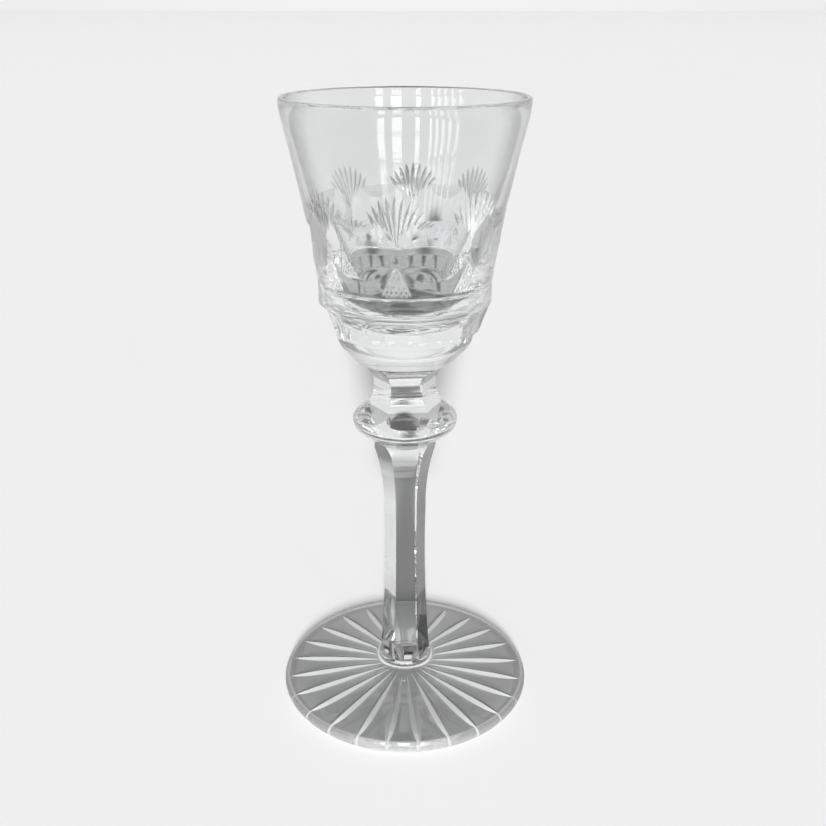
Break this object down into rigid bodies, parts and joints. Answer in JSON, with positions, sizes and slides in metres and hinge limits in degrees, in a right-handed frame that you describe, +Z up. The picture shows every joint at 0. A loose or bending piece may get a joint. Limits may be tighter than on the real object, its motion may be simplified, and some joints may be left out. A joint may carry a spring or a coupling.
{
  "type": "sherry glass",
  "caption": "Small stemmed sherry glass in clear cut crystal: flared bowl with fan, oval and panel cuts, faceted neck and stem, flattened knop and a round foot with a star cut under it.",
  "frame": {"origin": "middle of the plane that the foot stands on", "axes": "+Z up along the axis of the glass, towards the rim; -Y is the side that the picture shows"},
  "size_m": [0.06, 0.06, 0.14],
  "materials": {
    "crystal": "polished"
  },
  "bodies": {
    "root": {"bowl": "crystal", "neck": "crystal", "knop": "crystal", "stem": "crystal", "foot": "crystal"}
  },
  "joints": []
}
